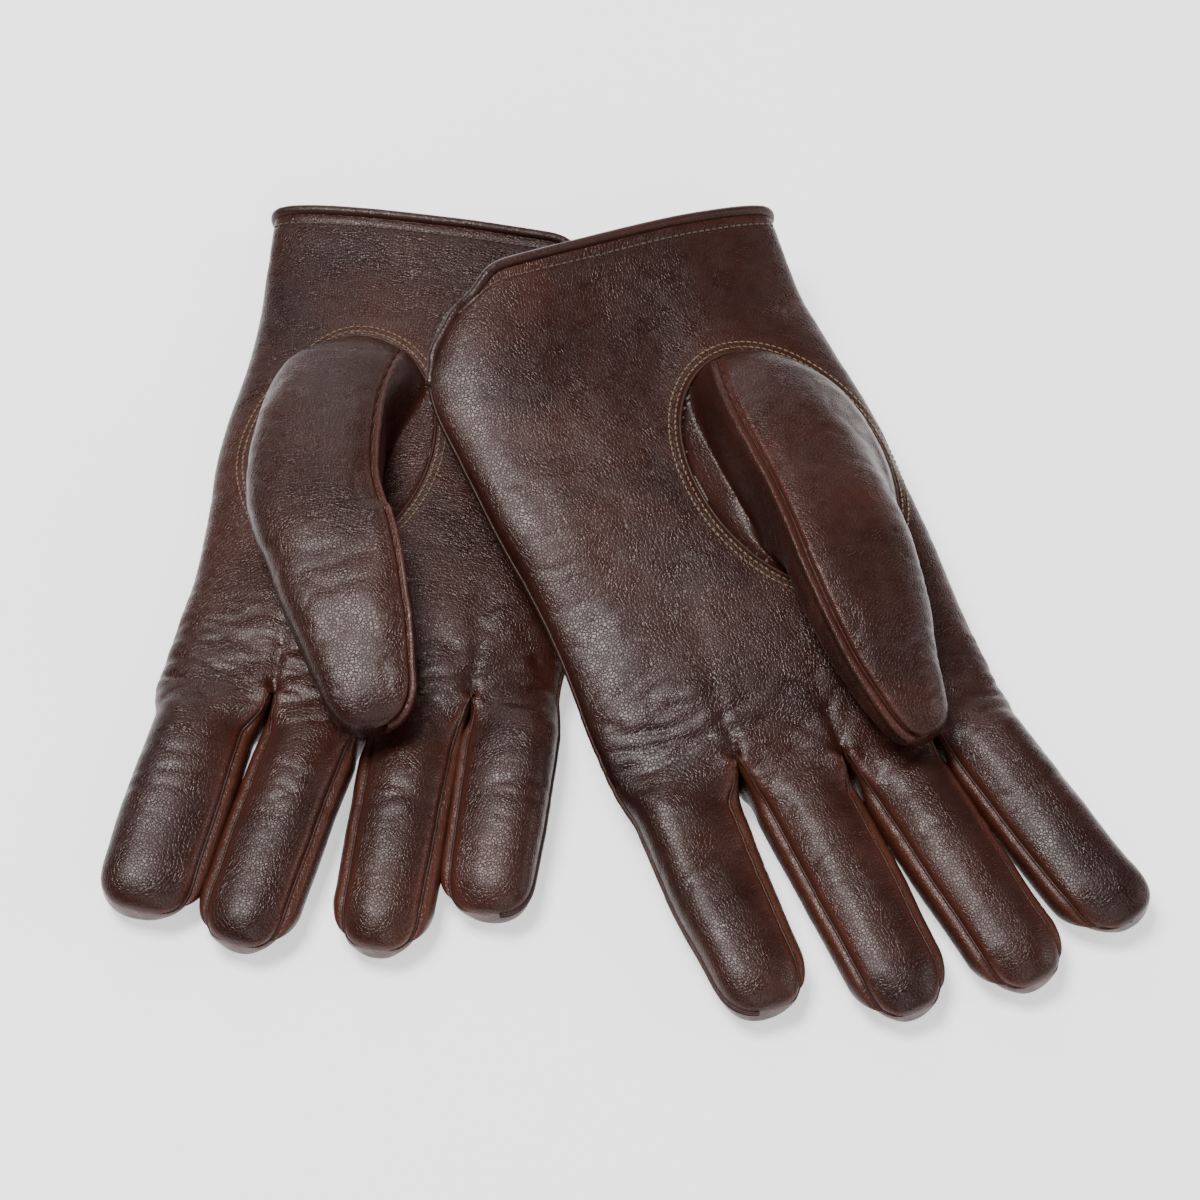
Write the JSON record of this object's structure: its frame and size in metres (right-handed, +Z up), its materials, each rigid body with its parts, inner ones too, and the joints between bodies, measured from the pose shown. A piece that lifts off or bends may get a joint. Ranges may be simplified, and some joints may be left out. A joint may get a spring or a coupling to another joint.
{
  "type": "pair of dress gloves",
  "caption": "Pair of lined leather dress gloves lying palm up, with an inset thumb, fourchettes between the fingers, and a bound cuff with a side vent.",
  "frame": {"origin": "centre of the pair's bounding box, on the surface it lies on", "axes": "+X across the pair, from the right-hand glove to the left-hand glove; +Y from the fingertips towards the cuffs; +Z up, out of the palms"},
  "size_m": [0.2865, 0.274, 0.0516],
  "materials": {
    "leather": "satin, fine grain, burnished dark brown",
    "fourchette_leather": "satin, fine grain, dark brown",
    "binding_leather": "satin, rolled, dark brown",
    "lining": "fine knit",
    "cuff_thread": "sewing thread",
    "thumb_thread": "sewing thread, olive brown"
  },
  "bodies": {
    "right_hand": {"right_trank": "leather", "right_thumb_gusset": "leather", "right_index_base": "leather", "right_middle_base": "leather", "right_ring_base": "leather", "right_little_base": "leather", "right_index_middle_fourchette": "fourchette_leather", "right_middle_ring_fourchette": "fourchette_leather", "right_ring_little_fourchette": "fourchette_leather", "right_hand_lining": "lining", "right_cuff_binding": "binding_leather", "right_cuff_stitching": "cuff_thread", "right_thumb_stitching": "thumb_thread"},
    "right_index": {"right_index_tip": "leather", "right_index_tip_fourchette": "fourchette_leather", "right_index_tip_lining": "lining"},
    "right_middle": {"right_middle_tip": "leather", "right_middle_tip_fourchette": "fourchette_leather", "right_middle_tip_lining": "lining"},
    "right_ring": {"right_ring_tip": "leather", "right_ring_tip_fourchette": "fourchette_leather", "right_ring_tip_lining": "lining"},
    "right_little": {"right_little_tip": "leather", "right_little_tip_fourchette": "fourchette_leather", "right_little_tip_lining": "lining"},
    "right_thumb": {"right_thumb": "leather", "right_thumb_lining": "lining"},
    "left_hand": {"left_trank": "leather", "left_thumb_gusset": "leather", "left_index_base": "leather", "left_middle_base": "leather", "left_ring_base": "leather", "left_little_base": "leather", "left_index_middle_fourchette": "fourchette_leather", "left_middle_ring_fourchette": "fourchette_leather", "left_ring_little_fourchette": "fourchette_leather", "left_hand_lining": "lining", "left_cuff_binding": "binding_leather", "left_cuff_stitching": "cuff_thread", "left_thumb_stitching": "thumb_thread"},
    "left_index": {"left_index_tip": "leather", "left_index_tip_fourchette": "fourchette_leather", "left_index_tip_lining": "lining"},
    "left_middle": {"left_middle_tip": "leather", "left_middle_tip_fourchette": "fourchette_leather", "left_middle_tip_lining": "lining"},
    "left_ring": {"left_ring_tip": "leather", "left_ring_tip_fourchette": "fourchette_leather", "left_ring_tip_lining": "lining"},
    "left_little": {"left_little_tip": "leather", "left_little_tip_fourchette": "fourchette_leather", "left_little_tip_lining": "lining"},
    "left_thumb": {"left_thumb": "leather", "left_thumb_lining": "lining"}
  },
  "joints": [
    {"name": "left_glove_lift", "type": "slide", "parent": "right_hand", "child": "left_hand", "axis": [0, 0, 1], "range_m": [0, 0.12]},
    {"name": "right_index_bend", "type": "hinge", "parent": "right_hand", "child": "right_index", "pos_m": [-0.12467, -0.06408, 0.02078], "axis": [-0.9789, 0.2045, 0], "range_deg": [0, 60]},
    {"name": "right_middle_bend", "type": "hinge", "parent": "right_hand", "child": "right_middle", "pos_m": [-0.09665, -0.07188, 0.02091], "axis": [-0.9613, 0.2756, 0], "range_deg": [0, 60]},
    {"name": "right_ring_bend", "type": "hinge", "parent": "right_hand", "child": "right_ring", "pos_m": [-0.06487, -0.07308, 0.02087], "axis": [-0.9893, 0.1461, 0], "range_deg": [0, 60]},
    {"name": "right_little_bend", "type": "hinge", "parent": "right_hand", "child": "right_little", "pos_m": [-0.03637, -0.06695, 0.02063], "axis": [-0.9925, 0.1219, 0], "range_deg": [0, 60]},
    {"name": "right_thumb_bend", "type": "hinge", "parent": "right_hand", "child": "right_thumb", "pos_m": [-0.0863, -0.00032, 0.04395], "axis": [-0.9783, -0.2073, 0], "range_deg": [0, 45]},
    {"name": "left_index_bend", "type": "hinge", "parent": "left_hand", "child": "left_index", "pos_m": [0.11231, -0.06701, 0.02103], "axis": [-0.8406, -0.5417, 0], "range_deg": [0, 60]},
    {"name": "left_middle_bend", "type": "hinge", "parent": "left_hand", "child": "left_middle", "pos_m": [0.08742, -0.08158, 0.02115], "axis": [-0.8771, -0.4802, 0], "range_deg": [0, 60]},
    {"name": "left_ring_bend", "type": "hinge", "parent": "left_hand", "child": "left_ring", "pos_m": [0.05817, -0.0897, 0.02111], "axis": [-0.9135, -0.4067, 0], "range_deg": [0, 60]},
    {"name": "left_little_bend", "type": "hinge", "parent": "left_hand", "child": "left_little", "pos_m": [0.02308, -0.09299, 0.02148], "axis": [-0.9466, -0.3222, 0.0108], "range_deg": [0, 60]},
    {"name": "left_thumb_bend", "type": "hinge", "parent": "left_hand", "child": "left_thumb", "pos_m": [0.06223, -0.01369, 0.05109], "axis": [-0.956, -0.2888, 0.0522], "range_deg": [0, 45]}
  ]
}
